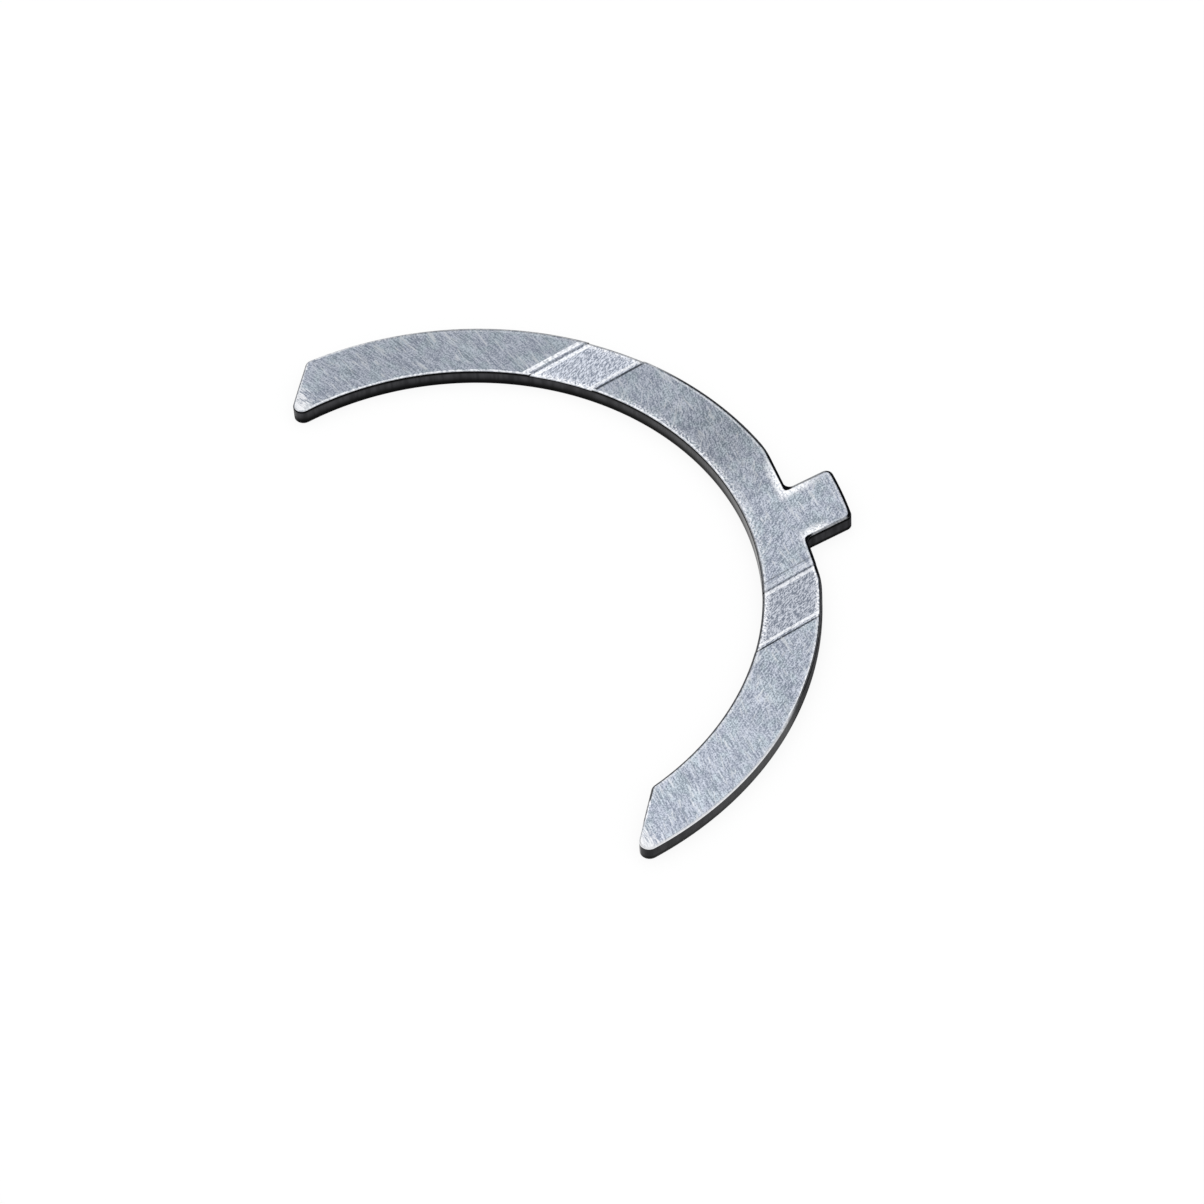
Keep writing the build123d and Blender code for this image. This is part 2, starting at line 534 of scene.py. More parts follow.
wall_run = (GROOVE_DEPTH - SHOULDER_DROP - FOOT_RISE) / math.tan(GROOVE_WALL_SLOPE)
HALF_SECTION = [
    # distance from the groove's middle, depth
    (GROOVE_HALF_WIDTH - wall_run - FOOT_WIDTH, GROOVE_DEPTH),
    (GROOVE_HALF_WIDTH - wall_run, GROOVE_DEPTH - FOOT_RISE),
    (GROOVE_HALF_WIDTH, SHOULDER_DROP),
    (GROOVE_HALF_WIDTH + SHOULDER_WIDTH, 0.0),
]
groove_rightward = Vector((math.cos(GROOVE_LEAN), -math.sin(GROOVE_LEAN)))
groove_middles = [heading(side * GROOVE_BEARING) * MIDDLE_RADIUS for side in (-1, 1)]


def pressed_depth(across):
    """The section's depth at a distance from the groove's middle."""
    off = abs(across)
    if off <= HALF_SECTION[0][0]:
        return GROOVE_DEPTH
    for (near_off, near_depth), (far_off, far_depth) in zip(HALF_SECTION, HALF_SECTION[1:]):
        if off <= far_off:
            return near_depth + (far_depth - near_depth) * (off - near_off) / (far_off - near_off)
    return 0.0


print("depth 3 mm from a groove's middle, mm:", round(pressed_depth(3.0), 3))

# %% Fold lines, then the press
TIP_EASE_LENGTH, TIP_EASE_DROP = 2.0, 0.10
# A point this near to a fold, in metres, is on it.
ON_FOLD = 1e-7
# Only the thrust face and its rolled rim are higher than this.
FRONT_FROM = 0.8 * THICKNESS * MM


def fold_line(mesh, point, across):
    """Cut a line into the mesh, and keep it as a crease on the front."""
    everything = mesh.verts[:] + mesh.edges[:] + mesh.faces[:]
    at, facing = (point * MM).to_3d(), across.to_3d()
    cut = bmesh.ops.bisect_plane(mesh, geom=everything, dist=ON_FOLD, plane_co=at, plane_no=facing)
    for element in cut["geom_cut"]:
        if isinstance(element, bmesh.types.BMEdge):
            element.smooth = min(vert.co.z for vert in element.verts) < FRONT_FROM


tip_ease_start = min(point.y for point in outline) + TIP_EASE_LENGTH
pressed = bmesh.new()
pressed.from_mesh(washer_mesh)
for middle in groove_middles:
    for off, _ in HALF_SECTION:
        for side in (-1, 1):
            fold_line(pressed, middle + side * off * groove_rightward, groove_rightward)
fold_line(pressed, Vector((0, tip_ease_start)), Vector((0, 1)))

for vert in pressed.verts:
    if vert.co.z < FRONT_FROM:
        continue
    spot = vert.co.to_2d() / MM
    depth = sum(pressed_depth((spot - middle).dot(groove_rightward)) for middle in groove_middles)
    depth += TIP_EASE_DROP * max(0.0, tip_ease_start - spot.y) / TIP_EASE_LENGTH
    vert.co.z -= depth * MM
pressed.to_mesh(washer_mesh)
open_edges = sum(not edge.is_manifold for edge in pressed.edges)
volume = pressed.calc_volume() / MM ** 3
pressed.free()
washer_mesh.validate()
print("faces:", len(washer_mesh.polygons), "open edges:", open_edges, "volume, mm3:", round(volume, 1))

washer = bpy.data.objects.new("stamped_washer", washer_mesh)
scene.collection.objects.link(washer)
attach(washer, "root")
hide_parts("thrust_washer")

# %% [markdown]
# ## Where on the washer am I?
#
# A material that knows where it is on the part can wear the part as use and tumbling do,
# and can paint light and shade along its edges and grooves.
# The outline's own cuts give the distance to the nearest edge: how far inside each circle,
# how far behind each straight cut, and the smallest of those. Masks painted by hand would
# need an image, and painted corners would need a much finer mesh.

# %% Measure the place: millimetres, and a bearing in degrees
metal.use_nodes = True
tree = metal.node_tree
tree.nodes.clear()
coordinates = add_node("ShaderNodeTexCoord").node
from_axis, normal = coordinates.outputs["Object"], coordinates.outputs["Normal"]
place = add_node("ShaderNodeVectorMath", {0: from_axis, "Scale": 1 / MM}, operation="SCALE")
plan = add_node("ShaderNodeVectorMath", (place, (1, 1, 0)), operation="MULTIPLY")
across_page, up_page, height_above = add_node("ShaderNodeSeparateXYZ", (place,)).node.outputs
radius = add_node("ShaderNodeVectorMath", (plan,), "Value", operation="LENGTH")
bearing = add_node("ShaderNodeMath", (across_page, up_page), operation="ARCTAN2")
bearing = add_node("ShaderNodeMath", (bearing,), operation="DEGREES")
print("nodes that measure the place:", len(tree.nodes))

# %% Distance to the outline
TAB_CORNER_BLEND = 1.05
TAB_ROOT_BLEND = 0.94
# Drawn on, the right end's cut would run across the crown, so it counts only beyond here.
RIGHT_END_FROM = 30.0


def inside(cut):
    """How far the shaded place is inside one of the outline's cuts, in millimetres."""
    if "outward" in cut:
        outward = (*cut["outward"], 0)
        along = add_node("ShaderNodeVectorMath", (plan, outward), "Value", operation="DOT_PRODUCT")
        return add_node("ShaderNodeMath", (cut["reach"], along), operation="SUBTRACT")
    larger, smaller = (radius, cut["radius"]) if cut["hollow"] else (cut["radius"], radius)
    return add_node("ShaderNodeMath", (larger, smaller), operation="SUBTRACT")


before_right_end = add_node("ShaderNodeMath", (RIGHT_END_FROM, across_page), operation="SUBTRACT")
inside_band = add_node("ShaderNodeMath", (inside(right_end), before_right_end), operation="MAXIMUM")
for cut in (bore, rim, *flats, left_end):
    inside_band = add_node("ShaderNodeMath", (inside_band, inside(cut)), operation="MINIMUM")
# The smooth kinds of minimum and maximum follow the rounded corners and the hollow roots.
from_tab_end = inside(tab_end)
inside_tab = add_node("ShaderNodeMath", [inside(cut) for cut in tab_sides], operation="MINIMUM")
inside_tab = add_node("ShaderNodeMath", (inside_tab, from_tab_end, TAB_CORNER_BLEND), operation="SMOOTH_MIN")
inside_tab = add_node("ShaderNodeMath", (inside_tab, inside(bore)), operation="MINIMUM")
edge_distance = add_node(
    "ShaderNodeMath", (inside_band, inside_tab, TAB_ROOT_BLEND), operation="SMOOTH_MAX"
)
print("nodes with the distance to the outline:", len(tree.nodes))

# %% Distance across the grooves
from_left_groove, from_right_groove = [
    inside(straight(-groove_rightward, middle)) for middle in groove_middles
]
on_right_arm = add_node("ShaderNodeMath", (across_page, 0.0), operation="GREATER_THAN")
across_groove = add_node("ShaderNodeMix", {0: on_right_arm, 2: from_left_groove, 3: from_right_groove})
off_groove = add_node("ShaderNodeMath", (across_groove,), operation="ABSOLUTE")
print("grooves from the middle of the page, mm:", [round(middle.x, 1) for middle in groove_middles])

# %% [markdown]
# ## Which way does it face?
#
# The same metal looks different on its faces, its rounded rims and its sheared edge, and
# the surface's own direction tells them apart. Level is a ground face, a lean near the
# outline is a rolled rim, and upright is the sheared edge. Faces could be given one of
# three materials instead, but then each finish would stop dead at a row of faces. The
# grooves' slopes lean too, so they are left out. On the low end of the right arm the
# bright rim is a painted highlight that reaches further down the edge.

# %% Level, leaning and upright
# How level the metal still is where a rolled rim begins, and where the sheared edge does.
RIM_BEGINS, RIM_BEGINS_LOW_DOWN = 0.9986, 0.8486
EDGE_BEGINS, EDGE_BEGINS_LOW_DOWN = 0.80, 0.18
RIM_FADE, EDGE_FADE = 0.0016, 0.11

facing_up = add_node("ShaderNodeSeparateXYZ", (normal,), "Z")
levelness = add_node("ShaderNodeMath", (facing_up,), operation="ABSOLUTE")
off_slopes = zone((off_groove, 4.05, 3.95), (edge_distance, 0.22, 0.30), low=1.0, high=0.0)
on_thrust_face = zone((height_above, 1.6, 1.9))
on_outside = zone((radius, 40.0, 41.0))
down_right_arm = zone((bearing, 50.0, 70.0), on_outside)

# On the low end of the right arm the rim's painted highlight lies further down the edge.
rolled_from = zone(down_right_arm, low=RIM_BEGINS, high=RIM_BEGINS_LOW_DOWN)
rolled_fully = add_node("ShaderNodeMath", (rolled_from, RIM_FADE), operation="SUBTRACT")
rolled = zone((levelness, rolled_from, rolled_fully), off_slopes)
# On the back the dark edge is painted right round the rim to the flat, as painted shade where the washer
# meets the floor.
back_rim_painted_shade = zone((height_above, 0.5, 0.3), high=0.99)
edge_from = zone(down_right_arm, low=EDGE_BEGINS, high=EDGE_BEGINS_LOW_DOWN)
edge_from = add_node("ShaderNodeMath", (edge_from, back_rim_painted_shade), operation="MAXIMUM")
edge_fully = add_node("ShaderNodeMath", (edge_from, EDGE_FADE), operation="SUBTRACT")
# There the painted highlight also keeps the top of the edge bright.
below_bright_top = zone(down_right_arm, (height_above, 1.94, 2.04), low=1.0, high=0.0)
sheared = zone((levelness, edge_from, edge_fully), off_slopes, below_bright_top)
print("a rim begins at a lean of, degrees:", round(math.degrees(math.acos(RIM_BEGINS)), 1))

# %% [markdown]
# ## Grinding marks
#
# A cup wheel ground the faces and left marks in wide arcs that all swing about one far
# point. Noise stretched along those arcs gives the grain. The wheel's grit leaves lines
# about 0.05 mm apart, less than half a pixel here, so they are drawn coarser, 5 to 7 to the
# millimetre, which is as fine as still shows. Round the crown and the tab the marks cross
# and smear, so there a second grain, turned across the first, takes over. An image of real
# grinding would be quicker, but it would need a file and stretch over the rims.

# %% Places along the grinding arcs
# The centre of the arcs on each arm and their usual radius, in millimetres.
LEFT_ARCS = ((-4.0, -126.0, 0.0), 140.0)
RIGHT_ARCS = ((22.0, -166.0, 0.0), 206.0)


def along_arcs(centre, reach):
    """Distances along and across the arcs about a centre, in millimetres."""
    from_centre = add_node("ShaderNodeVectorMath", (plan, centre), operation="SUBTRACT")
    across = add_node("ShaderNodeVectorMath", (from_centre,), "Value", operation="LENGTH")
    rightwards, upwards, _ = add_node("ShaderNodeSeparateXYZ", (from_centre,)).node.outputs
    swung = add_node("ShaderNodeMath", (rightwards, upwards), operation="ARCTAN2")
    along = add_node("ShaderNodeMath", (swung, reach), operation="MULTIPLY")
    return add_node("ShaderNodeCombineXYZ", (along, across, height_above))


arc_places = {0: on_right_arm, 4: along_arcs(*LEFT_ARCS), 5: along_arcs(*RIGHT_ARCS)}
grind_place = add_node("ShaderNodeMix", arc_places, 1, data_type="VECTOR")
print("nodes with the arcs:", len(tree.nodes))

# %% The grain of the ground face
def tool_marks(where, per_mm, lean=0.0, shift=0.0, detail=2.0):
    """Marks that a tool left, from 0 to 1, with so many to the millimetre along and across."""
    moved = {0: where, "Rotation": (0, 0, math.radians(lean)), "Location": (shift, shift, 0)}
    mapped = add_node("ShaderNodeMapping", moved, vector_type="POINT")
    stretched = add_node("ShaderNodeVectorMath", (mapped, (*per_mm, 0.2)), operation="MULTIPLY")
    pattern = {"Vector": stretched, "Scale": 1.0, "Detail": detail, "Roughness": 0.6}
    return add_node("ShaderNodeTexNoise", pattern)


def overlaid(*marks):
    """Several kinds of marks over each other, each with its weight."""
    total = 0.0
    for mark, weight in marks:
        total = add_node("ShaderNodeMath", (mark, weight, total), operation="MULTIPLY_ADD")
    return total


# Lines of the wheel, 2 mm and 0.7 mm long, and crossed ones, 1.2 mm long.
long_grain = tool_marks(grind_place, (0.5, 5.0))
short_grain = tool_marks(grind_place, (1.4, 7.0), shift=31.0)
leaning_grain = tool_marks(plan, (0.8, 5.2), lean=20.0, shift=57.0)
steep_grain = tool_marks(plan, (0.8, 5.2), lean=64.0, shift=77.0)
# Pits of single grains of grit are 0.03 mm wide, and drawn coarser, 0.2 mm, so that they show.
specks = tool_marks(plan, (4.6, 4.6), shift=63.0)
# Patches where the wheel bit less, 3 mm wide.
clouds = tool_marks(plan, (0.30, 0.30), shift=13.0, detail=4.0)

ground_marks = overlaid(
    (long_grain, 0.24), (short_grain, 0.20), (steep_grain, 0.10), (specks, 0.40), (clouds, 0.06)
)
past_tab = zone((bearing, 4.0, 16.0))
leading_grain = add_node("ShaderNodeMix", {0: past_tab, 2: leaning_grain, 3: steep_grain})
second_grain = add_node("ShaderNodeMix", {0: past_tab, 2: steep_grain, 3: leaning_grain})
crossed_marks = overlaid((leading_grain, 0.30), (second_grain, 0.18), (specks, 0.40), (clouds, 0.12))
near_crown = zone((bearing, -40.0, -18.0), (bearing, 68.0, 57.0))
ground_tone, crossed_tone = zone((ground_marks, 0.40, 0.60)), zone((crossed_marks, 0.42, 0.58))
tone = add_node("ShaderNodeMix", {0: near_crown, 2: ground_tone, 3: crossed_tone})
print("nodes with the grain:", len(tree.nodes))

# %% Hairline scratches
SCRATCH_SHARE = 0.7
# The patches that keep their scratches are about 2 mm long and 0.6 mm wide.
PATCH_MARKS, PATCH_SHIFT, PATCH_FADE = (0.5, 1.6), 9.0, 0.06


def hairlines(per_mm, lean, shift, width, kept_from, *zones):
    """Thin straight scratches where a stretched noise crosses its middle, kept in patches."""
    noise = tool_marks(grind_place, per_mm, lean, shift, detail=0.0)
    off_line = add_node("ShaderNodeMath", (noise, 0.5), operation="SUBTRACT")
    off_line = add_node("ShaderNodeMath", (off_line,), operation="ABSOLUTE")
    patches = tool_marks(grind_place, PATCH_MARKS, lean, shift + PATCH_SHIFT, detail=0.0)
    return zone((off_line, width, 0.0), (patches, kept_from, kept_from + PATCH_FADE), *zones)


# They are 5 or 6 mm long. Real ones are 0.02 mm wide, and drawn coarser, 0.05 mm, to show.
scratches = hairlines((0.16, 3.0), 4.0, 3.0, 0.08, 0.58)
for more in (
    hairlines((0.16, 2.8), 14.0, 21.0, 0.07, 0.61),
    hairlines((0.2, 2.8), 50.0, 47.0, 0.07, 0.60, near_crown),
):
    scratches = add_node("ShaderNodeMath", (scratches, more), operation="MAXIMUM")
scratches = zone(scratches, high=SCRATCH_SHARE)
print("nodes with the scratches:", len(tree.nodes))

# %% [markdown]
# ## Colours of the ground face
#
# Ground steel is a cool grey that goes lighter and darker with the grain. The way the arcs
# lie to the light is painted in as a painted sheen, brighter or darker by bearing. A thin film
# of oil greens it a little in patches. The finish is built as a painter would build it, in
# layers from the bottom up, each with a zone that says where it lies. Bump alone could draw
# the grain, but on a face this flat it hardly shows.

# %% Layers of the ground face
FACE_DARK = colour("#8A93A4")
FACE_LIGHT = colour("#D3D9E6")
SCRATCH = colour("#E6EAEF")
OIL_FILM = colour("#A3B5B8")
# Painted sheen: how bright the ground face is painted at a bearing, where 1 leaves it as it is.
PAINTED_SHEEN = (
    (-90, 0.80), (-76, 0.71), (-50, 0.71), (-22, 0.73), (-5, 0.59),
    (12, 0.86), (46, 0.85), (70, 0.95), (90, 1.0),
)

ring_starts, ring_ends = PAINTED_SHEEN[0][0], PAINTED_SHEEN[-1][0]
ring_span = {"Value": bearing, "From Min": ring_starts, "From Max": ring_ends}
along_ring = add_node("ShaderNodeMapRange", ring_span)
painted_sheen = add_node("ShaderNodeValToRGB", (along_ring,), "Color")
stops = painted_sheen.node.color_ramp.elements
while len(stops) < len(PAINTED_SHEEN):
    stops.new(0.5)
for stop, (stop_bearing, share) in zip(stops, PAINTED_SHEEN):
    stop.position = (stop_bearing - ring_starts) / (ring_ends - ring_starts)
    stop.color = (share, share, share, 1)
# Patches of oil about 2.5 mm wide.
oil_film = zone((tool_marks(plan, (0.42, 0.42), shift=151.0), 0.44, 0.62), high=0.30)

# The last layer multiplies in the painted sheen.
face = FACE_DARK
for share, layer, blend in (
    (tone, FACE_LIGHT, "MIX"),
    (oil_film, OIL_FILM, "COLOR"),
    (scratches, SCRATCH, "MIX"),
    (1.0, painted_sheen, "MULTIPLY"),
):
    face = add_node(
        "ShaderNodeMix", {0: share, 6: face, 7: layer}, 2, data_type="RGBA", blend_type=blend
    )
print("bearings with a sheen of their own:", len(PAINTED_SHEEN))

# %% [markdown]
# ## Inside the grooves
#
# A die presses the grooves, so their floors are brighter than the ground face and their
# marks run along the groove. Along each lip, lines of painted highlight lie where the
# shoulder and wall would catch the light, and lines of painted shade where the wall turns
# away from it. The lines are placed by how far they are from the groove's own middle.
# Sharper folds in the mesh would show the same lines, but only from some sides.

# %% Floors of the grooves
GROOVE_DARK = colour("#8E96A6")
GROOVE_LIGHT = colour("#E6EBF6")
# Painted sheen on each groove's floor, where 1 leaves it as it is; the right floor is painted darker.
LEFT_GROOVE_PAINTED_SHEEN, RIGHT_GROOVE_PAINTED_SHEEN = 0.90, 0.74

# Marks of the die, drawn coarser than the real 0.05 mm: 0.8 mm long and 0.16 mm apart, with
# fainter ones across them.
groove_grain = tool_marks(plan, (6.4, 1.2), lean=-18.0, shift=71.0)
groove_cross = tool_marks(plan, (1.4, 6.0), lean=34.0, shift=81.0)
die_marks = overlaid((groove_grain, 0.5), (groove_cross, 0.3), (specks, 0.2))
groove_tone = zone((die_marks, 0.455, 0.545))
# Each floor is multiplied by its painted sheen.
groove_painted_sheen = zone(on_right_arm, low=LEFT_GROOVE_PAINTED_SHEEN, high=RIGHT_GROOVE_PAINTED_SHEEN)
groove_painted_sheen = add_node("ShaderNodeCombineColor", (groove_painted_sheen, groove_painted_sheen, groove_painted_sheen))
floor_metal = GROOVE_DARK
for share, layer, blend in ((groove_tone, GROOVE_LIGHT, "MIX"), (1.0, groove_painted_sheen, "MULTIPLY")):
    floor_metal = add_node(
        "ShaderNodeMix", {0: share, 6: floor_metal, 7: layer}, 2, data_type="RGBA", blend_type=blend
    )
in_groove = zone((off_groove, 3.45, 3.35), on_thrust_face)
body = add_node("ShaderNodeMix", {0: in_groove, 6: face, 7: floor_metal}, 2, data_type="RGBA")
print("nodes with the grooves' floors:", len(tree.nodes))

# %% Painted highlight and painted shade along the grooves' lips
# Colours of the painted shade and the painted highlight at the lips.
LIP_PAINTED_SHADE = colour("#42474F")
LIP_PAINTED_HIGHLIGHT = colour("#F4F6FA")
LINE_FADE = 0.05
# Each line: its distance from the groove's middle and its half width, in mm, and its strength.
LEFT_LIP_PAINTED_HIGHLIGHTS = ((-3.97, 0.26, 1.0), (-3.02, 0.22, 1.0), (2.88, 0.18, 0.95))
RIGHT_LIP_PAINTED_HIGHLIGHTS = ((-3.98, 0.08, 0.3), (-3.70, 0.08, 0.4), (-3.02, 0.20, 0.85), (2.84, 0.17, 0.95))
LEFT_LIP_PAINTED_SHADES = ((-3.44, 0.03, 0.5), (3.58, 0.14, 0.95))
RIGHT_LIP_PAINTED_SHADES = ((-4.50, 0.08, 0.5), (-3.40, 0.02, 0.45), (-2.42, 0.05, 0.3), (3.46, 0.14, 1.0))


def groove_lines(lines):
    """Lines that run along a groove."""
    drawn = 0.0
    for at, half_width, strength in lines:
        off_line = add_node("ShaderNodeMath", (across_groove, at), operation="SUBTRACT")
        off_line = add_node("ShaderNodeMath", (off_line,), operation="ABSOLUTE")
        line = zone((off_line, half_width + LINE_FADE, half_width), high=strength)
        drawn = add_node("ShaderNodeMath", (drawn, line), operation="MAXIMUM")
    return drawn


# Gaps in the lines, 0.4 mm long.
broken = zone((tool_marks(plan, (2.4, 2.4), shift=41.0), 0.36, 0.56), low=0.35, high=1.0)
hardly_broken = zone((broken, 0.35, 0.7), low=0.6, high=1.0)
for left_lines, right_lines, gaps, line_colour in (
    (LEFT_LIP_PAINTED_HIGHLIGHTS, RIGHT_LIP_PAINTED_HIGHLIGHTS, broken, LIP_PAINTED_HIGHLIGHT),
    (LEFT_LIP_PAINTED_SHADES, RIGHT_LIP_PAINTED_SHADES, hardly_broken, LIP_PAINTED_SHADE),
):
    on_both_arms = {0: on_right_arm, 2: groove_lines(left_lines), 3: groove_lines(right_lines)}
    drawn_lines = zone(add_node("ShaderNodeMix", on_both_arms), gaps, on_thrust_face)
    body = add_node("ShaderNodeMix", {0: drawn_lines, 6: body, 7: line_colour}, 2, data_type="RGBA")
print("nodes with the grooves' lips:", len(tree.nodes))

# %% [markdown]
# ## Wear
#
# Tumbling polishes what stands proud: the rounded rims, the corners of the tips and the
# metal round the tab's roots. On the rims the bright band is also a painted highlight, where
# the rounding would catch the light. A band along the outline, broken up by noise, lays it down.
# Blender can also find sharp edges by their curvature, but that would wear every edge alike.

# %% Where the rims and roots are worn, and the rims painted bright
RIM_WIDTH = 0.25
# The tab's two roots: side, and from how far and how near the wear counts, in millimetres.
ROOT_REACH = ((-1, 6.0, 2.2), (1, 3.0, 0.8))
# They lie a little nearer to the axis than the rim does.
ROOT_INSET = 0.985

# Nicks from tumbling, 0.45 mm long, and shorter ticks, 0.3 mm.
nicks = zone((tool_marks(plan, (2.2, 2.2), shift=91.0, detail=3.0), 0.38, 0.66))
tick_noise = tool_marks(plan, (3.4, 3.4), shift=121.0, detail=1.0)

beyond_rim = add_node("ShaderNodeMath", (edge_distance, RIM_WIDTH), operation="SUBTRACT")
wear_reach = zone(nicks, low=0.02, high=0.24)
share_of_reach = add_node("ShaderNodeMath", (beyond_rim, wear_reach), operation="DIVIDE")
rim_wear_and_highlight = zone((share_of_reach, 1.0, 0.3), zone(down_right_arm, low=0.75, high=0.10))

near_root = 0.0
for side, far, near in ROOT_REACH:
    root = (tab_foot + side * tab_rightward * TAB_WIDTH / 2) * ROOT_INSET
    away = add_node("ShaderNodeVectorMath", (plan, (*root, 0)), "Value", operation="DISTANCE")
    near_root = add_node("ShaderNodeMath", (near_root, zone((away, far, near))), operation="MAXIMUM")
rub_strength = zone((tick_noise, 0.38, 0.56), low=0.32, high=1.0)
root_rub = zone(near_root, (edge_distance, 1.8, 0.7), rub_strength)

# Tumbling nicks the crown's bore edge and the ends of the grooves with short bright ticks.
by_crown_bore = zone((bearing, -32.0, -22.0), (bearing, 30.0, 18.0), (radius, 38.1, 37.2), high=0.6)
by_groove_end = zone(in_groove, (edge_distance, 1.2, 0.4))
ticked = add_node("ShaderNodeMath", (by_crown_bore, by_groove_end), operation="MAXIMUM")
for more in (zone(ticked, (tick_noise, 0.47, 0.60)), root_rub):
    rim_wear_and_highlight = add_node("ShaderNodeMath", (rim_wear_and_highlight, more), operation="MAXIMUM")
print("nodes with the worn rims:", len(tree.nodes))

# %% Worn, rolled and dull metal, with painted highlights
# The bright rim colours are metal worn bright by tumbling and a painted highlight.
WORN_AND_HIGHLIGHT = colour("#F4F5F8")
ROLLED_RIM_AND_HIGHLIGHT = colour("#E8EAEF")
DULL_RIM = colour("#8C939F")

tip_rub = overlaid((up_page, 0.8), (long_grain, -3.6), (short_grain, -4.2))
wear_and_highlight = add_node("ShaderNodeMath", (rim_wear_and_highlight, zone((tip_rub, -2.6, -4.6))), operation="MAXIMUM")
dulled = zone(zone((nicks, 0.15, 0.75), low=0.55, high=0.0), zone(down_right_arm, low=1.0, high=0.25))
rim_metal_and_highlight = ROLLED_RIM_AND_HIGHLIGHT
for share, layer in ((down_right_arm, WORN_AND_HIGHLIGHT), (dulled, DULL_RIM)):
    rim_metal_and_highlight = add_node("ShaderNodeMix", {0: share, 6: rim_metal_and_highlight, 7: layer}, 2, data_type="RGBA")
worn_and_painted_light = body
for share, layer in ((wear_and_highlight, WORN_AND_HIGHLIGHT), (rolled, rim_metal_and_highlight)):
    worn_and_painted_light = add_node("ShaderNodeMix", {0: share, 6: worn_and_painted_light, 7: layer}, 2, data_type="RGBA")
print("nodes with the worn metal:", len(tree.nodes))

# %% [markdown]
# ## Painted dark rims
#
# Round the outside of the crown, over the tab's end and along the bore of the right arm the
# rolled rim is painted nearly black, a painted dark reflection, and from above it shows as a
# fine dark line, with a painted highlight line just inside it. It could be a strip of its own
# with a second material, but a zone can fade out, as the real line does.

# %% Where the rim gets a painted dark reflection
# The colour of the painted dark reflection on the rims.
PAINTED_DARK_REFLECTION = colour("#141518")

past_tab_flanks = zone((radius, 43.6, 44.2), (from_tab_end, 0.5, 0.9), low=1.0, high=0.55)
outer_crown = zone((bearing, -28.0, -18.0), (bearing, 60.0, 53.0), (radius, 42.0, 42.5), past_tab_flanks)
outer_left = zone((bearing, -82.0, -60.0), (bearing, -18.0, -28.0), on_outside, high=0.4)
down_the_bore = zone((bearing, 6.0, 40.0), low=0.35, high=0.78)
right_bore = zone((bearing, 4.0, 12.0), (radius, 38.5, 38.0), down_the_bore)
painted_dark_rim_places = outer_crown
for more in (outer_left, right_bore):
    painted_dark_rim_places = add_node("ShaderNodeMath", (painted_dark_rim_places, more), operation="MAXIMUM")

outer_reach = zone((bearing, 30.0, 54.0), low=0.42, high=0.20)
dark_reach = add_node("ShaderNodeMix", {0: on_outside, 2: 0.33, 3: outer_reach})
beyond_dark = add_node("ShaderNodeMath", (edge_distance, dark_reach), operation="SUBTRACT")
in_reach = add_node("ShaderNodeMath", (rolled, zone((beyond_dark, 0.0, -0.08))), operation="MAXIMUM")
painted_dark_rim = zone(in_reach, painted_dark_rim_places, zone(sheared, low=1.0, high=0.0))
# A painted highlight line just inside the painted dark rim.
painted_highlight_line = zone(
    (beyond_dark, 0.0, 0.08), (beyond_dark, 0.32, 0.18), painted_dark_rim_places, broken, on_thrust_face, high=0.5
)
for share, layer in ((painted_highlight_line, WORN_AND_HIGHLIGHT), (painted_dark_rim, PAINTED_DARK_REFLECTION)):
    worn_and_painted_light = add_node("ShaderNodeMix", {0: share, 6: worn_and_painted_light, 7: layer}, 2, data_type="RGBA")
print("nodes with the dark rims:", len(tree.nodes))

# %% [markdown]
# ## The sheared edge
#
# The punch sheared the edge and the heat treatment left it dark. Dark steel still shines
# where it is seen at a slant, so the edge is nearly black where it faces you and light
# where it turns away. A metal shader does that by itself when its colour is dark.

# %% Lay on the dark edge
SHEARED = colour("#0C0C0D")
SHEARED_LIGHT = colour("#3E3E41")

# Torn patches that the punch leaves, 0.8 mm long.
shear_marks = zone((tool_marks(place, (1.2, 1.2), shift=101.0, detail=3.0), 0.35, 0.65), low=0.5, high=1.0)
light_from = zone(on_outside, low=1.7, high=0.8)
less_on_right_arm = zone(down_right_arm, low=1.0, high=0.7)
edge_light = zone(
    shear_marks, (height_above, 2.02, 1.84), (height_above, 0.4, light_from), less_on_right_arm
)
edge_tones = {0: edge_light, 6: SHEARED, 7: SHEARED_LIGHT}
edge_colour = add_node("ShaderNodeMix", edge_tones, 2, data_type="RGBA")
finish = add_node("ShaderNodeMix", {0: sheared, 6: worn_and_painted_light, 7: edge_colour}, 2, data_type="RGBA")
print("nodes with the sheared edge:", len(tree.nodes))

# %% [markdown]
# ## Shine and relief
#
# A polished rim mirrors the room, a ground face blurs it, and scale hardly reflects it at
# all. The punch also drags the bore smooth and leaves the outside of the washer rough. One
# roughness for each of these would look like paint, so the grain moves it too, and a very
# small bump lets the same grain catch the light.

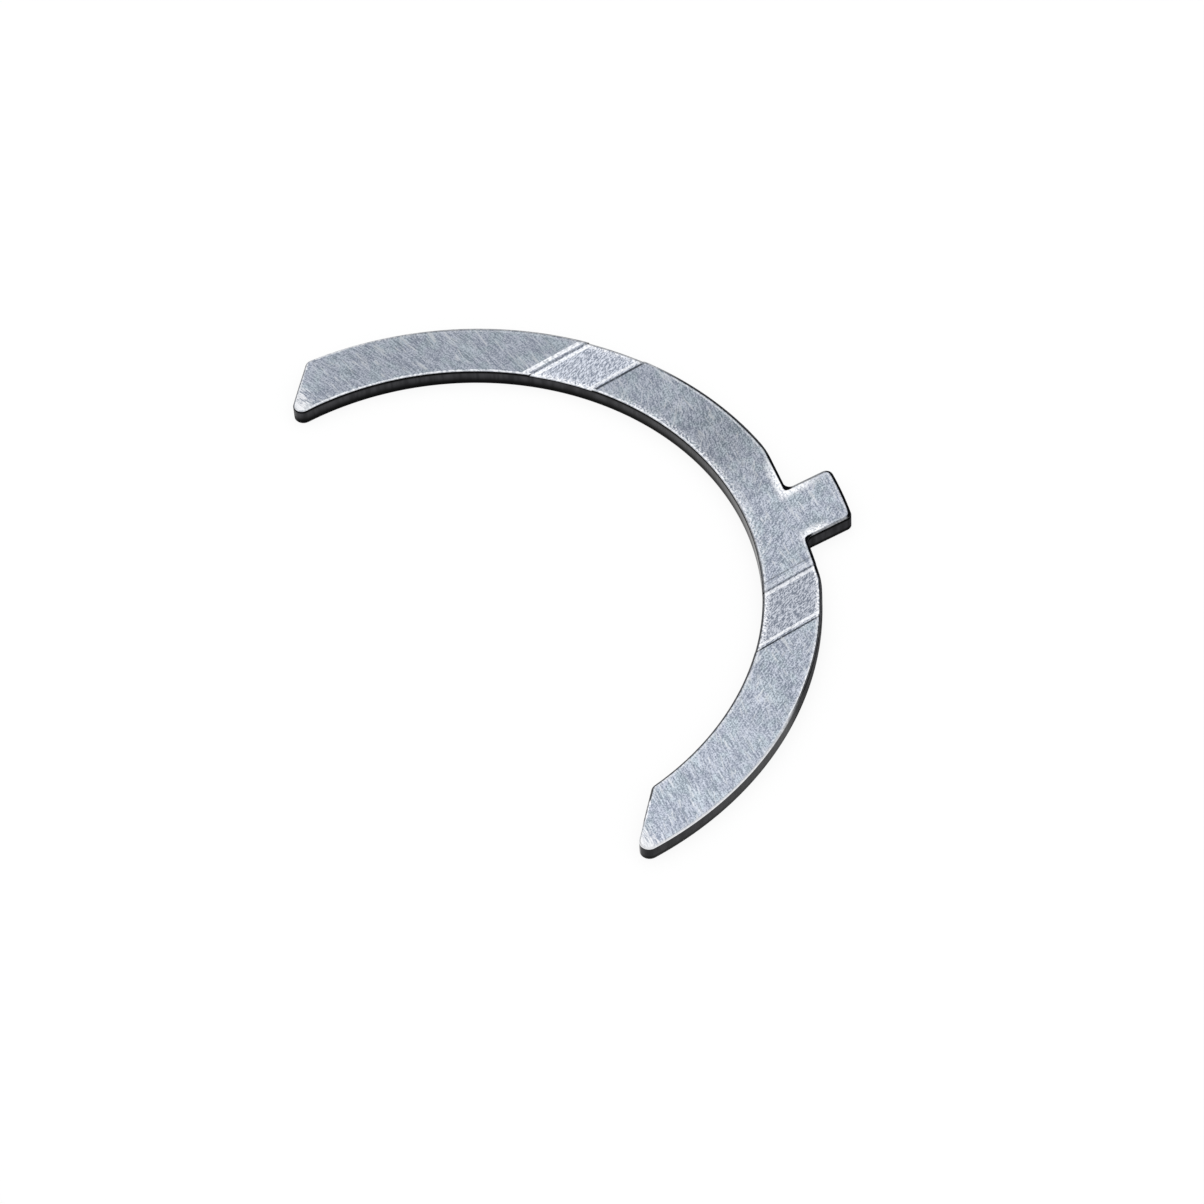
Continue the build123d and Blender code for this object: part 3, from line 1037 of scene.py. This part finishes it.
# %% Roughness, relief and the finished metal
# Typical values are 0.4 for ground steel and 0.2 for polished. These are matched to the washer.
BORE_ROUGHNESS, OUTSIDE_ROUGHNESS, SCALE_ROUGHNESS = 0.26, 0.46, 0.80
DARK_GRAIN_ROUGHNESS, LIGHT_GRAIN_ROUGHNESS = 0.46, 0.36
WORN_ROUGHNESS, ROLLED_ROUGHNESS, DARK_RIM_ROUGHNESS = 0.30, 0.18, 0.75
# How deep grinding marks are, in metres.
GRAIN_HEIGHT = 0.006 * MM

outwards = add_node("ShaderNodeVectorMath", (plan, normal), "Value", operation="DOT_PRODUCT")
faces_out = add_node("ShaderNodeMath", (outwards, 0.0), operation="GREATER_THAN")
edge_rough = zone(faces_out, low=BORE_ROUGHNESS, high=OUTSIDE_ROUGHNESS)
edge_rough = add_node("ShaderNodeMix", {0: outer_crown, 2: edge_rough, 3: SCALE_ROUGHNESS})
rough = zone((tone, 0.0, 1.0), low=DARK_GRAIN_ROUGHNESS, high=LIGHT_GRAIN_ROUGHNESS)
for share, layer in (
    (rim_wear_and_highlight, WORN_ROUGHNESS),
    (rolled, ROLLED_ROUGHNESS),
    (painted_dark_rim, DARK_RIM_ROUGHNESS),
    (sheared, edge_rough),
):
    rough = add_node("ShaderNodeMix", {0: share, 2: rough, 3: layer})
relief = add_node("ShaderNodeBump", {"Height": tone, "Distance": GRAIN_HEIGHT, "Strength": 0.8})

# Scale is too rough to shine at a slant as bare metal does. The painted dark rims lose that shine too, so
# their painted dark reflection stays dark.
low_on_edge = zone((height_above, 1.5, 0.4), zone(on_outside, low=1.0, high=0.15), high=0.38)
scale = add_node("ShaderNodeMath", (zone(outer_crown, high=0.35), low_on_edge), operation="MAXIMUM")
scale_and_painted_dark_rim = add_node("ShaderNodeMath", (painted_dark_rim, zone(sheared, scale)), operation="MAXIMUM")
slant_tints = {0: scale_and_painted_dark_rim, 6: colour("#FFFFFF"), 7: colour("#000000")}
slant_tint = add_node("ShaderNodeMix", slant_tints, 2, data_type="RGBA")

skin = {"Base Color": finish, "Roughness": rough, "Metallic": 1.0, "Specular Tint": slant_tint}
surface = add_node("ShaderNodeBsdfPrincipled", {**skin, "Normal": relief})
add_node("ShaderNodeOutputMaterial", {"Surface": surface})
print("nodes in the metal:", len(tree.nodes))
